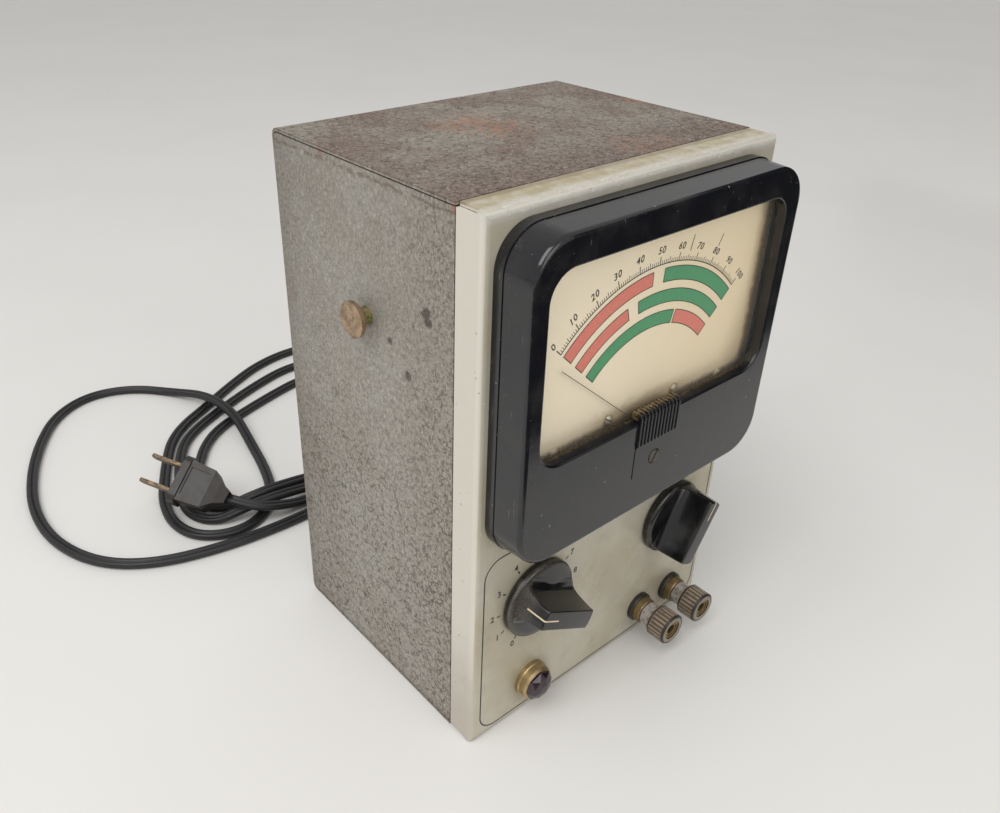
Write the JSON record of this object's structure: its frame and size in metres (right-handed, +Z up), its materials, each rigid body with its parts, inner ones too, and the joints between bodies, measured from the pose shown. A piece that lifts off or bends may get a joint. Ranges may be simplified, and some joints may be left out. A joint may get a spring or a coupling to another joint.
{
  "type": "flyback and yoke tester",
  "caption": "Bench tester in a folded steel case with a large moving-coil meter, two bar knobs, a pilot lamp, binding posts and a line cord.",
  "frame": {"origin": "middle of the case's underside", "axes": "+Z up, -Y out of the front panel, +X to the right seen from the front"},
  "size_m": [0.237, 0.3396, 0.1969],
  "materials": {
    "case_paint": "grey hammer finish, worn",
    "panel_paint": "satin silver cream",
    "bakelite": "polished",
    "dial_card": "matt cream",
    "clear_glass": "clear",
    "jewel_glass": "faceted",
    "worn_brass": "tarnished",
    "steel": "plated",
    "iron": "dull",
    "light_metal": "satin",
    "phenolic": "matt",
    "winding": "waxed paper",
    "post_plastic": "yellowed translucent",
    "rubber": "dull"
  },
  "bodies": {
    "tester": {"case_wrap": "case_paint", "side_panel_left": "case_paint", "side_panel_right": "case_paint", "front_panel": "panel_paint", "meter_base": "bakelite", "meter_cover": "bakelite", "pivot_cover": "bakelite", "dial_plate": "dial_card", "meter_glass": "clear_glass", "lamp_bulb": "clear_glass", "oscillator_tube": "clear_glass", "lamp_jewel": "jewel_glass", "strap_stud_left": "worn_brass", "strap_stud_right": "worn_brass", "lamp_bezel": "worn_brass", "post_studs": "worn_brass", "meter_terminals": "worn_brass", "movement_plate": "worn_brass", "front_bridge": "worn_brass", "pot_bushing": "worn_brass", "selector_bushing": "worn_brass", "plug_blades": "worn_brass", "case_screws": "steel", "dial_screws": "steel", "meter_studs": "steel", "stud_nuts": "steel", "control_nuts": "steel", "selector_spacers": "steel", "lamp_socket": "steel", "pot_case": "steel", "rectifier_stack": "steel", "chassis": "steel", "meter_magnet": "iron", "pole_pieces": "iron", "iron_core": "iron", "transformer_core": "iron", "filter_capacitor": "light_metal", "pot_track": "phenolic", "wafer_stator": "phenolic", "tube_socket": "phenolic", "terminal_strip": "phenolic", "post_washers": "phenolic", "transformer_coil": "winding", "cord_grommet": "rubber", "line_cord": "rubber", "plug_body": "rubber"},
    "calibration_control": {"calibration_knob": "bakelite", "calibration_shaft": "steel", "pot_wiper": "worn_brass"},
    "range_selector": {"selector_knob": "bakelite", "selector_shaft": "steel", "wafer_rotor": "phenolic"},
    "movement": {"moving_coil": "light_metal", "pointer": "light_metal"},
    "zero_adjuster": {"zero_screw": "worn_brass"},
    "zero_lever": {"zero_arm": "worn_brass"},
    "left_post_sleeve": {"post_left_insert": "worn_brass"},
    "left_post_cap": {"post_left_cap": "post_plastic"},
    "right_post_sleeve": {"post_right_insert": "worn_brass"},
    "right_post_cap": {"post_right_cap": "post_plastic"}
  },
  "joints": [
    {"name": "calibration_turn", "type": "hinge", "parent": "tester", "child": "calibration_control", "pos_m": [-0.0355, -0.0524, 0.05515], "axis": [0, 1, 0], "range_deg": [-90, 210]},
    {"name": "selector_turn", "type": "hinge", "parent": "tester", "child": "range_selector", "pos_m": [0.0355, -0.0524, 0.05515], "axis": [0, 1, 0], "range_deg": [-60, 60]},
    {"name": "pointer_swing", "type": "hinge", "parent": "tester", "child": "movement", "pos_m": [0, -0.0524, 0.1143], "axis": [0, 1, 0], "range_deg": [0, 97], "stiffness_Nm_per_rad": 0.001},
    {"name": "zero_adjust", "type": "hinge", "parent": "tester", "child": "zero_adjuster", "pos_m": [0, -0.0524, 0.1055], "axis": [0, 1, 0], "range_deg": [-30, 30]},
    {"name": "zero_lever_swing", "type": "hinge", "parent": "tester", "child": "zero_lever", "pos_m": [0, -0.0524, 0.1143], "axis": [0, 1, 0], "range_deg": [-5, 5]},
    {"name": "left_post_rise", "type": "slide", "parent": "tester", "child": "left_post_sleeve", "axis": [0, -1, 0], "range_m": [0, 0.00397]},
    {"name": "left_post_turn", "type": "hinge", "parent": "left_post_sleeve", "child": "left_post_cap", "pos_m": [0.02477, -0.0524, 0.0137], "axis": [0, -1, 0], "range_deg": [0, 1800]},
    {"name": "right_post_rise", "type": "slide", "parent": "tester", "child": "right_post_sleeve", "axis": [0, -1, 0], "range_m": [0, 0.00397]},
    {"name": "right_post_turn", "type": "hinge", "parent": "right_post_sleeve", "child": "right_post_cap", "pos_m": [0.04383, -0.0524, 0.0137], "axis": [0, -1, 0], "range_deg": [0, 1800]}
  ],
  "couplings": [
    {"joint": "zero_lever_swing", "follows": "zero_adjust", "ratio": -0.1474},
    {"joint": "left_post_turn", "follows": "left_post_rise", "rad_per_m": 7913.4},
    {"joint": "right_post_turn", "follows": "right_post_rise", "rad_per_m": 7913.4}
  ]
}
